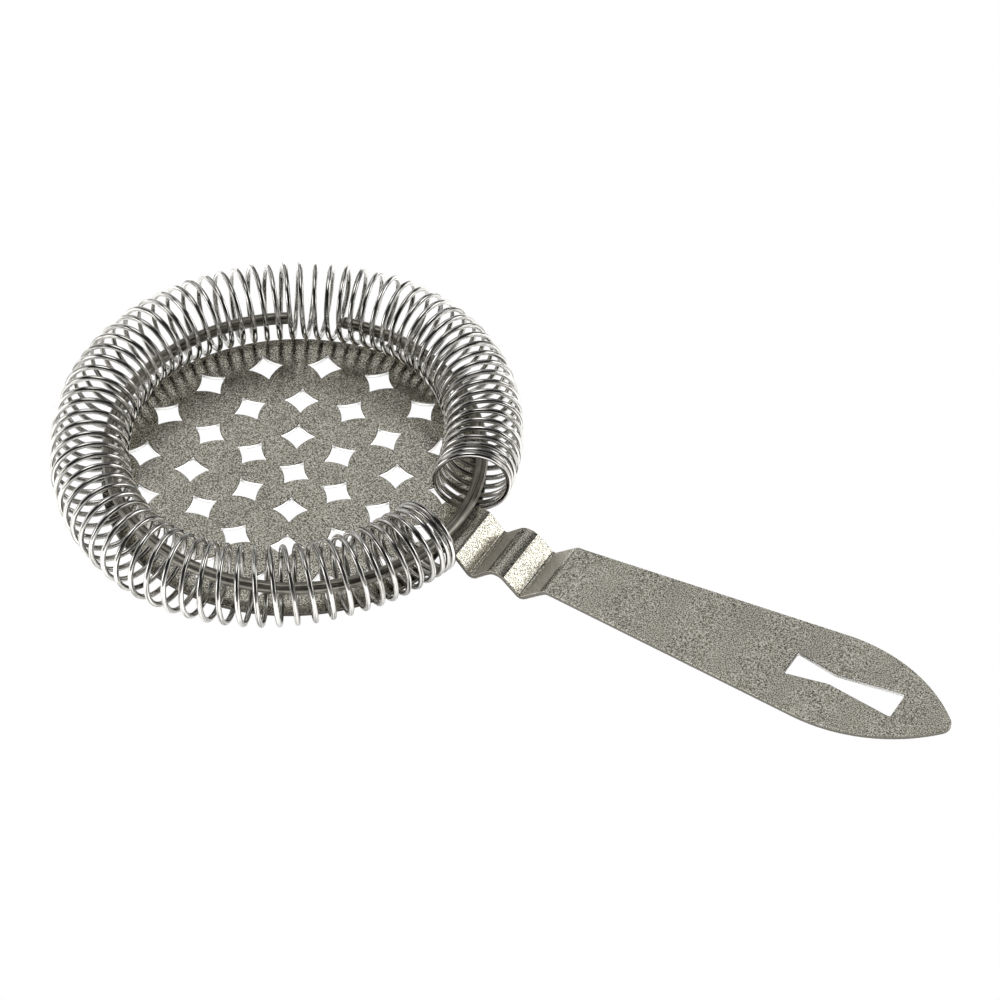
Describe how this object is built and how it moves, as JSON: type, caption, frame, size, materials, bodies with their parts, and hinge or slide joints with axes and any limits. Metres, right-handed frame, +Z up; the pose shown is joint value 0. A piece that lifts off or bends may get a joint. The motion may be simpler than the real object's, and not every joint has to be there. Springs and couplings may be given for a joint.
{
  "type": "hawthorne strainer",
  "caption": "Flat perforated bar strainer with a pleated neck and leaf-shaped handle, its disc ringed by a coil spring on a C-shaped ring wire.",
  "frame": {"origin": "centre of the disc, on its flat underside", "axes": "+X along the handle towards its tip, +Z up from the disc through the coil"},
  "size_m": [0.1902, 0.096, 0.0168],
  "materials": {
    "blasted_steel": "satin, fine bead-blasted grain",
    "ring_wire_steel": "dull drawn wire",
    "braze_metal": "dull, as brazed",
    "spring_wire": "polished spring wire"
  },
  "bodies": {
    "strainer": {"strainer_sheet": "blasted_steel", "ring_wire": "ring_wire_steel", "braze": "braze_metal"},
    "coil": {"coil_spring": "spring_wire"}
  },
  "joints": [
    {"name": "coil_press", "type": "slide", "parent": "strainer", "child": "coil", "axis": [1, 0, 0], "range_m": [-0.0005, 0.002], "stiffness_N_per_m": 1500}
  ]
}
